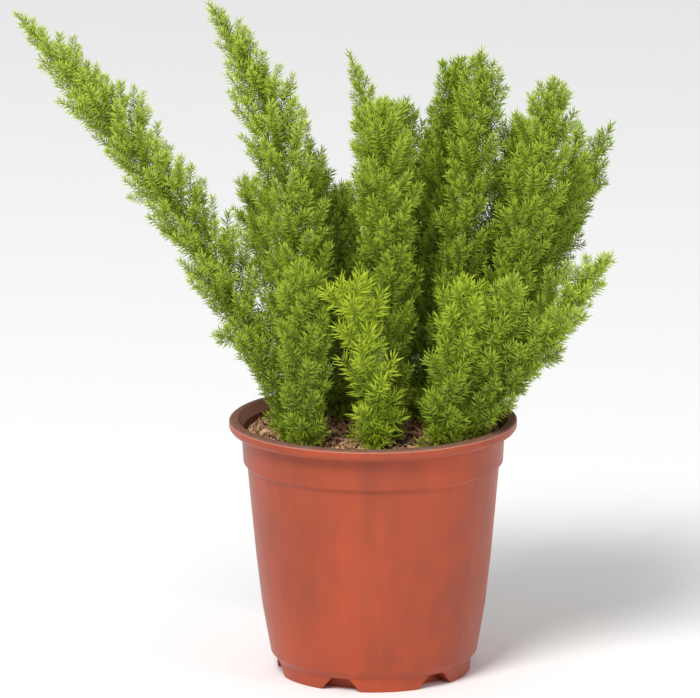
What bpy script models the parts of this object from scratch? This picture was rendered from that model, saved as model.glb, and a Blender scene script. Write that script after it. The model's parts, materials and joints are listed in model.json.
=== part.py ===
# A foxtail fern growing in a plastic nursery pot: upright plumes of needle-clad
# shoots that stand in holes in the potting soil.
# Metres, +Z up. Z is the pot's axis, the pot's feet stand on Z = 0, and -Y is the
# side that the plant is usually seen from.

import math

import bmesh
import bpy
import numpy as np
from mathutils import Quaternion, Vector
from mathutils.bvhtree import BVHTree

MM = 0.001
UP = Vector((0, 0, 1))

# The pot: one thin moulded shell.
POT_HEIGHT = 153 * MM
POT_SIDES = 36
WALL = 1.2 * MM
LIP_RADIUS = 85 * MM  # outside of the rolled lip, so the pot is 170 mm across
LIP_HEIGHT = 6.8 * MM
LIP_INNER_RADIUS = 79.3 * MM
COLLAR_RADIUS = 78 * MM  # under the lip
COLLAR_FOOT = 127.8 * MM  # height at which the collar steps in to the wall
STEP_RADIUS = 74.7 * MM
WAIST_HEIGHT = 70 * MM
WAIST_RADIUS = 69.4 * MM
SHOULDER_HEIGHT = 12.5 * MM
SHOULDER_RADIUS = 61.3 * MM
FOOT_HEIGHT = 8.2 * MM
FOOT_RADIUS = 57.6 * MM
RECESS_RADIUS = 44 * MM  # the underside is raised inside this radius
RECESS_HEIGHT = 1 * MM

# Six drain pockets notch the foot, each with a hole through its roof.
POCKETS = 6
POCKET_ANGLE = -110.5  # degrees from +X to the first pocket
POCKET_HEIGHT = 8 * MM
POCKET_TOP_WIDTH = 11 * MM
POCKET_FOOT_WIDTH = 25 * MM
POCKET_DEPTH = 47.5 * MM  # distance from the pot's axis to a pocket's inner end
DRAIN_RADIUS = 2.5 * MM
DRAIN_DISTANCE = 51.5 * MM

# The potting soil fills the pot and swells a little in the middle.
GAP = 0.35 * MM  # between pieces that touch
SOIL_EDGE_HEIGHT = 143 * MM
SOIL_MOUND = 5 * MM
SOIL_CRUMB = 0.8 * MM  # height of the lumps in its surface
SOIL_SIDES = 28
SOIL_RINGS = 3

# Stems are three-sided tubes that taper, with needles raised from their faces.
STEM_RADIUS = 1.6 * MM
STEM_TIP_RADIUS = 0.75 * MM
ROOT_DEPTH = 22 * MM  # how far a stem goes down into the soil
ROOT_COLLAR = 2.5 * MM  # a stem leaves its hole upright for this height
HOLE_RADIUS = 2.3 * MM
HOLE_SIDES = 6
SHOOT_RADIUS = 0.8 * MM
SHOOT_TIP_RADIUS = 0.55 * MM
NEEDLE_LENGTH = 7.2 * MM
NEEDLE_PITCH = 10 * MM  # from one whorl of three needles to the next
NEEDLE_LEAN = 52  # degrees between a needle and its shoot
WHORL_TURN = 34  # degrees that each whorl is turned from the last
BARE_PITCH = 17 * MM  # length of a stem's segments below its needles
LEADER = 0.18  # share of a stem, at its tip, that bears needles itself
SHOOT_SPACING = 19.6 * MM
GOLDEN_ANGLE = 137.5
SHOOT_ANGLE = 40  # degrees between a stem and a side shoot at its root
SHOOT_LIFT = 0.5  # how strongly side shoots turn up towards the light
FIRST_SHOOT = 15 * MM  # from the soil along the stem
MARGIN = 0.4 * MM  # clearance that each shoot keeps to those of other plumes

# Each plume: where its stem leaves the soil, the point that bends it, its tip, and the
# reach of its longest side shoots. Millimetres, with heights from the pot's feet.
PLUMES = {
    "plume_left_long": ((-47, -15), (-76, -25, 255), (-206, -45, 405), 42),
    "plume_left_tall": ((-44, -20), (-32, -30, 327), (-97, -20, 406), 42),
    "plume_centre": ((8, -25), (12, -45, 285), (4, -35, 350), 34),
    "plume_right_tall": ((35, -15), (61, -20, 268), (66, -15, 376), 30),
    "plume_right_broad": ((53, -15), (91, -30, 258), (104, -40, 365), 32),
    "plume_back_thin": ((-11, 40), (10, 70, 275), (-14, 90, 355), 26),
    "plume_right_upright": ((32, 10), (45, 15, 266), (51, 20, 365), 32),
    "plume_right_inner": ((48, 15), (77, 25, 252), (87, 35, 328), 28),
    "plume_right_outer": ((57, 15), (106, 25, 233), (123, 40, 322), 28),
    "plume_right_far": ((64, 30), (107, 60, 234), (143, 90, 311), 26),
    "plume_right_low": ((61, -10), (97, -25, 214), (139, -40, 259), 30),
    "plume_back_left": ((-29, 25), (-25, 35, 244), (-38, 50, 312), 28),
    "plume_centre_back": ((19, 20), (30, 35, 256), (12, 50, 333), 26),
    "plume_inner_left": ((-20, 12), (-18, 15, 230), (-18, 22, 290), 32),
    "plume_shoulder_left": ((27, 30), (40, 45, 251), (42, 55, 333), 30),
    "plume_shoulder_right": ((45, 5), (81, 0, 254), (94, -5, 336), 30),
    "plume_right_under": ((62, -32), (87, -45, 203), (122, -60, 231), 24),
    "plume_front_left": ((-39, -50), (-43, -62, 220), (-41, -66, 262), 28),
    "plume_front_lime": ((2, -50), (2, -70, 213), (-19, -85, 253), 24),
    "plume_front_right": ((38, -44), (48, -62, 212), (56, -74, 253), 24),
    "plume_low_left": ((-47, -30), (-61, -44, 214), (-93, -56, 216), 15),
    "plume_low_right": ((58, -38), (74, -52, 209), (81, -66, 253), 24),
    "plume_rear_left": ((-32, 46), (-59, 92, 234), (-78, 125, 273), 30),
    "plume_rear_mid": ((-14, 52), (-14, 96, 221), (-19, 126, 264), 30),
    "plume_rear": ((13, 60), (28, 104, 231), (33, 134, 301), 28),
    "plume_rear_right": ((43, 54), (89, 100, 214), (104, 130, 278), 26),
}
FRONT_GREEN = (0.27, 0.44, 0.05, 1)
DEEP_GREEN = (0.10, 0.22, 0.03, 1)
LIME_GREEN = (0.42, 0.58, 0.07, 1)
LIME_PLUMES = ("plume_front_lime", "plume_front_right")
DEEP_PLUMES = (
    "plume_right_far",
    "plume_back_left",
    "plume_centre_back",
    "plume_inner_left",
    "plume_shoulder_left",
)


def clear_scene():
    for obj in list(bpy.data.objects):
        bpy.data.objects.remove(obj)


def material(name, colour, roughness):
    made = bpy.data.materials.new(name)
    made.use_nodes = True
    shader = made.node_tree.nodes["Principled BSDF"]
    shader.inputs["Base Color"].default_value = colour
    shader.inputs["Roughness"].default_value = roughness
    shader.inputs["Metallic"].default_value = 0
    return made


def add_object(name, verts, faces, finish=None):
    mesh = bpy.data.meshes.new(name)
    mesh.from_pydata(verts, [], faces)
    mesh.update()
    if finish:
        mesh.materials.append(finish)
    obj = bpy.data.objects.new(name, mesh)
    bpy.context.scene.collection.objects.link(obj)
    return obj


def add_cutter(name, verts, faces):
    cutter = add_object(name, verts, faces)
    cutter.hide_render = True
    cutter.display_type = "WIRE"
    return cutter


def cut(obj, name, cutter):
    modifier = obj.modifiers.new(name, "BOOLEAN")
    modifier.operation = "DIFFERENCE"
    modifier.solver = "EXACT"
    if isinstance(cutter, bpy.types.Collection):
        modifier.operand_type = "COLLECTION"
        modifier.collection = cutter
    else:
        modifier.object = cutter


def gather(name, objects):
    """Moves the objects into a collection of their own, for one Boolean to read."""
    collection = bpy.data.collections.new(name)
    bpy.context.scene.collection.children.link(collection)
    for obj in objects:
        bpy.context.scene.collection.objects.unlink(obj)
        collection.objects.link(obj)
    return collection


def turned(profile, sides, height_at=None):
    """Verts and faces of a closed solid turned round Z from a profile of (radius, z) that
    starts and ends on the axis. height_at(x, y, z) may raise or lower a point."""
    verts, faces, rings = [], [], []
    for radius, z in profile:
        count = 1 if radius == 0 else sides
        rings.append([len(verts) + i for i in range(count)])
        for i in range(count):
            angle = 2 * math.pi * i / sides
            x, y = radius * math.cos(angle), radius * math.sin(angle)
            verts.append((x, y, height_at(x, y, z) if height_at else z))
    for low, high in zip(rings, rings[1:]):
        for i in range(sides):
            j = (i + 1) % sides
            if len(low) == 1:
                faces.append((low[0], high[j], high[i]))
            elif len(high) == 1:
                faces.append((low[i], low[j], high[0]))
            else:
                faces.append((low[i], low[j], high[j], high[i]))
    return verts, faces


def prism(outline, start, end):
    """Verts and faces of a prism: outline(distance) gives its ring of points, anticlockwise
    as seen looking back from the end."""
    near, far = outline(start), outline(end)
    n = len(near)
    faces = [tuple(reversed(range(n))), tuple(range(n, 2 * n))]
    faces += [(i, (i + 1) % n, n + (i + 1) % n, n + i) for i in range(n)]
    return near + far, faces


def pocket(index, grow, start, end, foot):
    """A drain pocket's wedge, pointing out from the axis. grow widens it on all sides, and
    foot is the height of its open bottom."""
    angle = math.radians(POCKET_ANGLE + 360 / POCKETS * index)
    out = Vector((math.cos(angle), math.sin(angle), 0))
    side = Vector((-out.y, out.x, 0))
    slope = (POCKET_FOOT_WIDTH - POCKET_TOP_WIDTH) / 2 / POCKET_HEIGHT
    widen = grow * math.hypot(1, slope)
    top = POCKET_HEIGHT + grow

    def half_width(z):
        return POCKET_TOP_WIDTH / 2 + slope * (POCKET_HEIGHT - z) + widen

    def outline(distance):
        corners = [
            (-half_width(foot), foot),
            (half_width(foot), foot),
            (half_width(top), top),
            (-half_width(top), top),
        ]
        return [out * distance + side * across + UP * z for across, z in corners]

    return prism(outline, start, end)


def outside_profile():
    under_lip = POT_HEIGHT - LIP_HEIGHT
    return [
        (0, RECESS_HEIGHT),
        (RECESS_RADIUS, RECESS_HEIGHT),
        (RECESS_RADIUS + 1.5 * MM, 0),
        (FOOT_RADIUS - 0.5 * MM, 0),
        (FOOT_RADIUS, FOOT_HEIGHT),
        (SHOULDER_RADIUS, SHOULDER_HEIGHT),
        (WAIST_RADIUS, WAIST_HEIGHT),
        (STEP_RADIUS, COLLAR_FOOT - 3 * MM),
        (COLLAR_RADIUS - 1.2 * MM, COLLAR_FOOT),
        (COLLAR_RADIUS, under_lip),
        (LIP_RADIUS - 1.3 * MM, under_lip + 0.2 * MM),
        (LIP_RADIUS, under_lip + 1.9 * MM),
        (LIP_RADIUS, POT_HEIGHT - 1.4 * MM),
        (LIP_RADIUS - 1.3 * MM, POT_HEIGHT),
        (LIP_INNER_RADIUS, POT_HEIGHT),
        (0, POT_HEIGHT),
    ]


def inside_profile(inset, floor, top):
    """The cavity's profile, a distance inset from the outside of the wall."""
    return [
        (0, floor),
        (FOOT_RADIUS - 0.4 * MM - inset, floor),
        (FOOT_RADIUS + 0.2 * MM - inset, FOOT_HEIGHT + 0.4 * MM),
        (SHOULDER_RADIUS - inset, SHOULDER_HEIGHT + 0.5 * MM),
        (WAIST_RADIUS - inset, WAIST_HEIGHT),
        (STEP_RADIUS - inset, COLLAR_FOOT - 2.8 * MM),
        (COLLAR_RADIUS - 1.2 * MM - inset, COLLAR_FOOT + 0.2 * MM),
        *top,
    ]


def build_pot(finish):
    pot = add_object("pot", *turned(outside_profile(), POT_SIDES), finish)
    mouth = [
        (COLLAR_RADIUS - 0.1 * MM - WALL, POT_HEIGHT - 4.5 * MM),
        (LIP_INNER_RADIUS, POT_HEIGHT + 0.01 * MM),
        (LIP_INNER_RADIUS, POT_HEIGHT + 4 * MM),
        (0, POT_HEIGHT + 4 * MM),
    ]
    cavity = add_cutter(
        "cavity", *turned(inside_profile(WALL, RECESS_HEIGHT + WALL, mouth), POT_SIDES)
    )
    roofs = [
        add_cutter(
            f"pocket_roof_{i}",
            *pocket(i, WALL, POCKET_DEPTH - WALL, LIP_RADIUS, -2 * MM),
        )
        for i in range(POCKETS)
    ]
    notches = [
        add_cutter(f"notch_{i}", *pocket(i, 0, POCKET_DEPTH, LIP_RADIUS, -1 * MM))
        for i in range(POCKETS)
    ]
    cut(cavity, "pocket_roofs", gather("pocket_roofs", roofs))
    cut(pot, "cavity", cavity)
    cut(pot, "notches", gather("notches", notches + [drain(i) for i in range(POCKETS)]))
    return pot


def drain(index):
    """The cutter for the round hole through a pocket's roof."""
    angle = math.radians(POCKET_ANGLE + 360 / POCKETS * index)
    centre = Vector((math.cos(angle), math.sin(angle), 0)) * DRAIN_DISTANCE

    def outline(z):
        steps = [2 * math.pi * k / 8 for k in range(8)]
        return [
            centre + Vector((math.cos(a), math.sin(a), 0)) * DRAIN_RADIUS + UP * z
            for a in steps
        ]

    return add_cutter(
        f"drain_{index}",
        *prism(outline, POCKET_HEIGHT - 1 * MM, POCKET_HEIGHT + 3 * MM),
    )


def soil_radius():
    rise = (SOIL_EDGE_HEIGHT - COLLAR_FOOT) / (POT_HEIGHT - 4.5 * MM - COLLAR_FOOT)
    return COLLAR_RADIUS - 1.2 * MM - WALL - GAP + rise * 1.1 * MM


def soil_height(x, y):
    """Height of the soil's surface: a low mound with lumps in it."""
    spread = min(1, math.hypot(x, y) / soil_radius())
    lumps = math.sin(x * 310) * math.sin(y * 270 + 1) + math.sin(x * 170 + y * 410)
    mound = SOIL_MOUND * (1 - spread**2)
    return SOIL_EDGE_HEIGHT + mound + SOIL_CRUMB / 2 * lumps * (1 - spread**6)


def build_soil(finish):
    edge = soil_radius()
    surface = [
        (edge * (1 - k / SOIL_RINGS), SOIL_EDGE_HEIGHT) for k in range(SOIL_RINGS + 1)
    ]
    profile = inside_profile(WALL + GAP, RECESS_HEIGHT + WALL + GAP, surface)

    def height_at(x, y, z):
        return soil_height(x, y) if z >= SOIL_EDGE_HEIGHT else z

    soil = add_object("soil", *turned(profile, SOIL_SIDES, height_at), finish)
    # Its corners are pulled in, so that they stay inside the pot's own flat sides.
    fit = math.cos(math.pi / POT_SIDES)
    for vertex in soil.data.vertices:
        vertex.co.x *= fit
        vertex.co.y *= fit
    hollows = [
        add_cutter(
            f"pocket_hollow_{i}",
            *pocket(i, WALL + GAP, POCKET_DEPTH - WALL - GAP, LIP_RADIUS, -2 * MM),
        )
        for i in range(POCKETS)
    ]
    cut(soil, "pockets", gather("pocket_hollows", hollows))
    holes = [stem_hole(name, base) for name, (base, *_) in PLUMES.items()]
    cut(soil, "stem_holes", gather("stem_holes", holes))
    return soil


def stem_hole(name, base):
    x, y = (value * MM for value in base)
    top = soil_height(x, y)

    def outline(z):
        turns = [2 * math.pi * k / HOLE_SIDES for k in range(HOLE_SIDES)]
        return [
            Vector((x + HOLE_RADIUS * math.cos(a), y + HOLE_RADIUS * math.sin(a), z))
            for a in turns
        ]

    return add_cutter(
        f"hole_{name}", *prism(outline, top - ROOT_DEPTH - GAP, top + 5 * MM)
    )


def bezier(start, bend, tip, share):
    return start.lerp(bend, share).lerp(bend.lerp(tip, share), share)


class Spine:
    """A plume's stem: upright in its hole, then one curve to the tip."""

    def __init__(self, base, bend, tip):
        x, y = (value * MM for value in base)
        ground = soil_height(x, y)
        self.root = Vector((x, y, ground - ROOT_DEPTH))
        self.start = Vector((x, y, ground + ROOT_COLLAR))
        self.bend = Vector(bend) * MM
        self.tip = Vector(tip) * MM
        steps = [self.at_share(k / 60) for k in range(61)]
        lengths = [(b - a).length for a, b in zip(steps, steps[1:])]
        self.travel = np.concatenate([[0], np.cumsum(lengths)])
        self.length = float(self.travel[-1])

    def at_share(self, share):
        return bezier(self.start, self.bend, self.tip, share)

    def point(self, distance):
        return self.at_share(
            float(np.interp(distance, self.travel, np.linspace(0, 1, 61)))
        )

    def direction(self, distance):
        step = 1 * MM
        low, high = max(0, distance - step), min(self.length, distance + step)
        return (self.point(high) - self.point(low)).normalized()


class Shoot:
    """A three-sided tapering tube whose faces may each be raised into a needle."""

    def __init__(self, points, radii, bears, needle, turn=0.0):
        self.points, self.radii, self.needle, self.turn = points, radii, needle, turn
        self.count = len(points)
        self.raised = {
            (i, side) for i in range(self.count - 1) if bears[i] for side in range(3)
        }
        self.frames = self.make_frames()

    def make_frames(self):
        """A pair of directions across the tube at each point, carried along untwisted."""
        frames, across = [], None
        for i in range(self.count):
            before = self.points[max(0, i - 1)]
            after = self.points[min(self.count - 1, i + 1)]
            along = (after - before).normalized()
            if across is None:
                across = along.orthogonal().normalized()
            across = (across - along * across.dot(along)).normalized()
            frames.append((along, across, along.cross(across)))
        return frames

    def ring(self, i, grow):
        _, across, other = self.frames[i]
        radius = self.radii[i] + grow
        turns = [self.turn + math.radians(WHORL_TURN * i + 120 * k) for k in range(3)]
        return [
            self.points[i] + (across * math.cos(a) + other * math.sin(a)) * radius
            for a in turns
        ]

    def mesh(self, grow=0.0):
        """Verts, faces, and for each face the needle that it belongs to, or None."""
        verts = [point for i in range(self.count) for point in self.ring(i, grow)]
        faces, owners = [(2, 1, 0)], [None]
        for i in range(self.count - 1):
            for side in range(3):
                a, b = 3 * i + side, 3 * i + (side + 1) % 3
                quad = (a, b, b + 3, a + 3)
                if (i, side) in self.raised:
                    verts.append(self.needle_tip([verts[v] for v in quad], i, grow))
                    tip = len(verts) - 1
                    faces += [(p, q, tip) for p, q in zip(quad, quad[1:] + quad[:1])]
                    owners += [(i, side)] * 4
                else:
                    faces += [(a, b, b + 3), (a, b + 3, a + 3)]
                    owners += [None, None]
        last = 3 * (self.count - 1)
        verts.append(self.points[-1] + self.frames[-1][0] * (self.needle * 0.8 + grow))
        end = len(verts) - 1
        faces += [(last + k, last + (k + 1) % 3, end) for k in range(3)]
        owners += [None] * 3
        return verts, faces, owners

    def needle_tip(self, quad, i, grow):
        centre = sum(quad, Vector()) / 4
        along = self.frames[i][0]
        axis_point = (self.points[i] + self.points[i + 1]) / 2
        out = centre - axis_point
        out = (out - along * out.dot(along)).normalized()
        lean = math.radians(NEEDLE_LEAN)
        share = (i + 0.5) / self.count
        length = self.needle * (1 - 0.25 * share) + 2 * grow
        return axis_point + (out * math.sin(lean) + along * math.cos(lean)) * length


def stem_shoot(spine):
    """The stem itself, bare below and needled along its leading tip."""
    leader_start = spine.length * (1 - LEADER)
    bare = max(2, round(leader_start / BARE_PITCH))
    whorls = max(3, round(spine.length * LEADER / NEEDLE_PITCH))
    stops = [leader_start * k / bare for k in range(bare)]
    stops += [
        leader_start + (spine.length - leader_start) * k / whorls
        for k in range(whorls + 1)
    ]
    points = [spine.root] + [spine.point(s) for s in stops]
    shares = [0.0] + [s / spine.length for s in stops]
    radii = [STEM_RADIUS + (STEM_TIP_RADIUS - STEM_RADIUS) * s for s in shares]
    bears = [False] * (bare + 1) + [True] * whorls
    return Shoot(points, radii, bears, NEEDLE_LENGTH * 0.9)


def side_shoot(spine, distance, index, reach, shorten=1.0):
    """A side shoot that leaves the stem at this distance along it and turns upwards."""
    along = spine.direction(distance)
    above = (spine.length - distance) / spine.length
    swell = min(1, 0.3 + 1.25 * above) * min(1, 0.62 + 1.6 * distance / spine.length)
    length = reach * MM * swell * shorten
    spin = Quaternion(along, math.radians(GOLDEN_ANGLE * index))
    out = spin @ along.orthogonal().normalized()
    angle = math.radians(SHOOT_ANGLE)
    heading = along * math.cos(angle) + out * math.sin(angle)
    whorls = max(2, round(length / NEEDLE_PITCH))
    step = length / whorls
    points = [spine.point(distance)]
    for k in range(whorls):
        lifted = (heading + UP * SHOOT_LIFT * (k + 1) / whorls).normalized()
        points.append(points[-1] + lifted * step)
    radii = [
        SHOOT_RADIUS + (SHOOT_TIP_RADIUS - SHOOT_RADIUS) * k / whorls
        for k in range(whorls + 1)
    ]
    bears = [True] * whorls
    return Shoot(points, radii, bears, NEEDLE_LENGTH, turn=index)


class Crowd:
    """What has been placed so far, so that a new shoot can keep clear of it."""

    def __init__(self):
        self.trees = []

    def add(self, owner, verts, faces):
        points = np.array([tuple(v) for v in verts])
        self.trees.append(
            (owner, points.min(0), points.max(0), BVHTree.FromPolygons(verts, faces))
        )

    def touched(self, shoot, grow, own=None):
        """The needles of this shoot that would touch others, and whether its core would."""
        verts, faces, owners = shoot.mesh(grow)
        points = np.array([tuple(v) for v in verts])
        low, high = points.min(0), points.max(0)
        tree = BVHTree.FromPolygons(verts, faces)
        needles, core = set(), False
        for owner, other_low, other_high, other in self.trees:
            if (low > other_high).any() or (high < other_low).any():
                continue
            for mine, _ in tree.overlap(other):
                if owners[mine] is not None:
                    needles.add(owners[mine])
                elif owner != own:
                    core = True
        return needles, core

    def settle(self, shoot, own=None):
        """Lays flat each needle that would touch another shoot. False if the core would."""
        for _ in range(3):
            needles, core = self.touched(shoot, MARGIN, own)
            if core:
                return False
            if not needles:
                return True
            shoot.raised -= needles
        return not self.touched(shoot, MARGIN, own)[0]


def place_side_shoots(name, spine, reach, crowd):
    first, last = FIRST_SHOOT, spine.length * (1 - LEADER * 0.85)
    count = max(3, round((last - first) / SHOOT_SPACING))
    placed = []
    for index in range(count + 1):
        distance = first + (last - first) * index / count
        for shorten in (1.0, 0.75, 0.5):
            shoot = side_shoot(spine, distance, index, reach, shorten)
            if crowd.settle(shoot, own=name) and len(shoot.raised) >= 3:
                verts, faces, _ = shoot.mesh()
                crowd.add(f"{name}_side", verts, faces)
                placed.append(shoot)
                break
    return placed


def join_plume(name, stem, side_shoots, finish):
    """Fuses a plume's stem and side shoots into one solid."""
    plume = add_object(name, *stem.mesh()[:2], finish)
    parts = [
        add_object(f"{name}_shoot_{k}", *shoot.mesh()[:2], finish)
        for k, shoot in enumerate(side_shoots)
    ]
    collection = gather(f"{name}_shoots", parts)
    union = plume.modifiers.new("join", "BOOLEAN")
    union.operation = "UNION"
    union.operand_type = "COLLECTION"
    union.collection = collection
    union.solver = "MANIFOLD"
    bpy.context.view_layer.update()
    graph = bpy.context.evaluated_depsgraph_get()
    joined = bpy.data.meshes.new_from_object(plume.evaluated_get(graph))
    plume.modifiers.clear()
    plume.data = joined
    for part in parts:
        bpy.data.objects.remove(part)
    bpy.data.collections.remove(collection)
    return plume


def plume_finishes():
    green = material("frond_green", FRONT_GREEN, 0.6)
    lime = material("frond_lime", LIME_GREEN, 0.55)
    deep = material("frond_deep", DEEP_GREEN, 0.65)
    finishes = {name: green for name in PLUMES}
    finishes.update({name: lime for name in LIME_PLUMES})
    finishes.update({name: deep for name in DEEP_PLUMES})
    return finishes


def build_plumes(pot, soil):
    finishes = plume_finishes()
    crowd = Crowd()
    for holder in (pot, soil):
        verts = [vertex.co.copy() for vertex in holder.data.vertices]
        faces = [tuple(polygon.vertices) for polygon in holder.data.polygons]
        crowd.add("holder", verts, faces)
    spines = {
        name: Spine(base, bend, tip) for name, (base, bend, tip, _) in PLUMES.items()
    }
    stems = {name: stem_shoot(spine) for name, spine in spines.items()}
    for name, stem in stems.items():
        crowd.settle(stem, own="holder")
        verts, faces, _ = stem.mesh()
        crowd.add(name, verts, faces)
    for name, spine in spines.items():
        reach = PLUMES[name][3]
        side_shoots = place_side_shoots(name, spine, reach, crowd)
        join_plume(name, stems[name], side_shoots, finishes[name])


def shade_round(obj, degrees):
    obj.data.shade_smooth()
    obj.data.set_sharp_from_angle(angle=math.radians(degrees))


def main():
    clear_scene()
    pot = build_pot(material("pot_plastic", (0.52, 0.13, 0.06, 1), 0.42))
    soil = build_soil(material("potting_soil", (0.13, 0.075, 0.04, 1), 0.95))
    shade_round(pot, 40)
    build_plumes(pot, soil)


main()
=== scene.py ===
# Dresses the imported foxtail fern: needle-clad plumes, crumbly soil and a moulded pot.
import json
import math

import bpy
import numpy as np
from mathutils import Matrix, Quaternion, Vector


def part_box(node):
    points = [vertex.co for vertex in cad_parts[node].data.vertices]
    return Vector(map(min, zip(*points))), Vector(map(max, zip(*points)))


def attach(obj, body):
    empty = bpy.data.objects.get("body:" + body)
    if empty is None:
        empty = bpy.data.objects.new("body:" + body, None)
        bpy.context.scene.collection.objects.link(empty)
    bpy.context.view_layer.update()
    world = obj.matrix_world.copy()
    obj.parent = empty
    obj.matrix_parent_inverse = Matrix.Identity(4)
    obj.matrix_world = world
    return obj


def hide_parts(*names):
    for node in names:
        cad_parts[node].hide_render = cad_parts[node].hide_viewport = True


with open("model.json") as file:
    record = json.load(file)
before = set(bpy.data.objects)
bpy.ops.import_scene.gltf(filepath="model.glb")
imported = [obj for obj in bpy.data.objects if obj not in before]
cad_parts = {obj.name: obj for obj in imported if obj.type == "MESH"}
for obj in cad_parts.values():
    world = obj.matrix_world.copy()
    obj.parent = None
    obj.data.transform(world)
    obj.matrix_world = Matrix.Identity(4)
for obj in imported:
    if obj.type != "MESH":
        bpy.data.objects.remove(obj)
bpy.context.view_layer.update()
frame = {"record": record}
mm = 0.001
up = np.array([0.0, 0.0, 1.0])
goldenAngle = math.radians(137.508)

camera = {
    "lens": 436.0,  # millimetres on a 36 mm sensor: a long lens from far off
    "target": (-0.01345, 0.0, 0.1945),  # metres, and so is the distance from it
    "distance": 5.0,
    "elevation": 13.0,  # degrees above the horizon, looking along +Y
    "roll": -0.25,  # degrees that the picture is turned by
}


def makeCamera():
    data = bpy.data.cameras.new("camera")
    data.sensor_width = 36
    data.lens = camera["lens"]
    data.clip_end = 60
    cam = bpy.data.objects.new("camera", data)
    bpy.context.scene.collection.objects.link(cam)
    angle = math.radians(camera["elevation"])
    back = Vector((0, -math.cos(angle), math.sin(angle)))
    cam.location = Vector(camera["target"]) + back * camera["distance"]
    aim = (-back).to_track_quat("-Z", "Y")
    roll = Quaternion((0, 0, 1), math.radians(camera["roll"]))
    cam.rotation_euler = (aim @ roll).to_euler()
    bpy.context.scene.camera = cam


# Meshes, from numpy arrays of points and triangles


def unit(vectors):
    return vectors / np.linalg.norm(vectors, axis=-1, keepdims=True)


class Gatherer:
    # Collects points, triangles and point values, and makes them one object

    def __init__(self, *valueNames):
        self.points, self.triangles, self.count = [], [], 0
        self.values = {name: [] for name in valueNames}

    def add(self, points, triangles, **values):
        self.points.append(points)
        self.triangles.append(triangles + self.count)
        self.count += len(points)
        for name, kept in self.values.items():
            kept.append(np.broadcast_to(values.get(name, 0.0), (len(points),)))

    def build(self, name, material, smooth=False):
        points = np.concatenate(self.points)
        triangles = np.concatenate(self.triangles)
        mesh = bpy.data.meshes.new(name)
        mesh.vertices.add(len(points))
        mesh.vertices.foreach_set("co", points.astype(np.float32).ravel())
        mesh.loops.add(triangles.size)
        mesh.loops.foreach_set("vertex_index", triangles.astype(np.int32).ravel())
        mesh.polygons.add(len(triangles))
        mesh.polygons.foreach_set("loop_start", np.arange(0, triangles.size, 3))
        mesh.update(calc_edges=True)
        mesh.polygons.foreach_set("use_smooth", [smooth] * len(triangles))
        for key, parts in self.values.items():
            layer = mesh.attributes.new(key, "FLOAT", "POINT")
            layer.data.foreach_set("value", np.concatenate(parts).astype(np.float32))
        mesh.materials.append(material)
        obj = bpy.data.objects.new(name, mesh)
        bpy.context.scene.collection.objects.link(obj)
        return obj


def acrossPair(tangents):
    # Two unit directions square to each tangent
    side = np.cross(tangents, [0.0, 1.0, 0.0])
    weak = np.linalg.norm(side, axis=-1) < 0.1
    side[weak] = np.cross(tangents[weak], [1.0, 0.0, 0.0])
    side = unit(side)
    return side, np.cross(tangents, side)


def addTube(gather, path, radii, sides, **values):
    # A tapering tube round the path, closed at both ends
    tangents = unit(np.gradient(path, axis=0))
    side, other = acrossPair(tangents)
    turn = np.arange(sides) * 2 * math.pi / sides
    ring = side[:, None] * np.cos(turn)[:, None] + other[:, None] * np.sin(turn)[:, None]
    body = (path[:, None] + ring * radii[:, None, None]).reshape(-1, 3)
    points = np.concatenate([body, path[:1] - tangents[:1] * radii[0], path[-1:]])
    row = np.arange(len(path) - 1)[:, None] * sides
    a, b = row + np.arange(sides), row + np.roll(np.arange(sides), -1)
    walls = [np.stack([a, b, b + sides], -1), np.stack([a, b + sides, a + sides], -1)]
    last, start, end = (len(path) - 1) * sides, len(body), len(body) + 1
    k, nextK = np.arange(sides), np.roll(np.arange(sides), -1)
    caps = [
        np.stack([nextK, k, np.full(sides, start)], -1),
        np.stack([last + k, last + nextK, np.full(sides, end)], -1),
    ]
    triangles = np.concatenate([w.reshape(-1, 3) for w in walls] + caps)
    spread = {
        key: np.concatenate([np.repeat(v, sides), v[:1], v[-1:]])
        for key, v in values.items()
    }
    gather.add(points, triangles, **spread)


needleFaces = np.array([[0, 2, 1], [3, 1, 2], [0, 1, 3], [0, 3, 2]], int)


def addNeedles(gather, roots, headings, lengths, widths, curl, fresh, tone):
    # Slim folded blades of four faces, pointed at both ends and a little curled
    side, keel = acrossPair(headings)
    lean = unit(up - headings * headings[:, 2:3] + 1e-6)
    bow = lean * (curl * lengths)[:, None]
    middle = roots + headings * (lengths * needles["middle"])[:, None] - bow
    half = (widths / 2)[:, None]
    points = np.stack(
        [
            roots,
            middle + side * half + keel * half * needles["keel"],
            middle - side * half + keel * half * needles["keel"],
            roots + headings * lengths[:, None] + bow,
        ],
        axis=1,
    )
    count = len(roots)
    triangles = (needleFaces + 4 * np.arange(count)[:, None, None]).reshape(-1, 3)
    gather.add(
        points.reshape(-1, 3),
        triangles,
        fresh=np.repeat(fresh, 4),
        tone=np.repeat(tone, 4),
        reach=np.tile([0.0, 0.5, 0.5, 1.0], count),
    )


# Plumes: a stem, branchlets all round it and needles all round those

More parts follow.
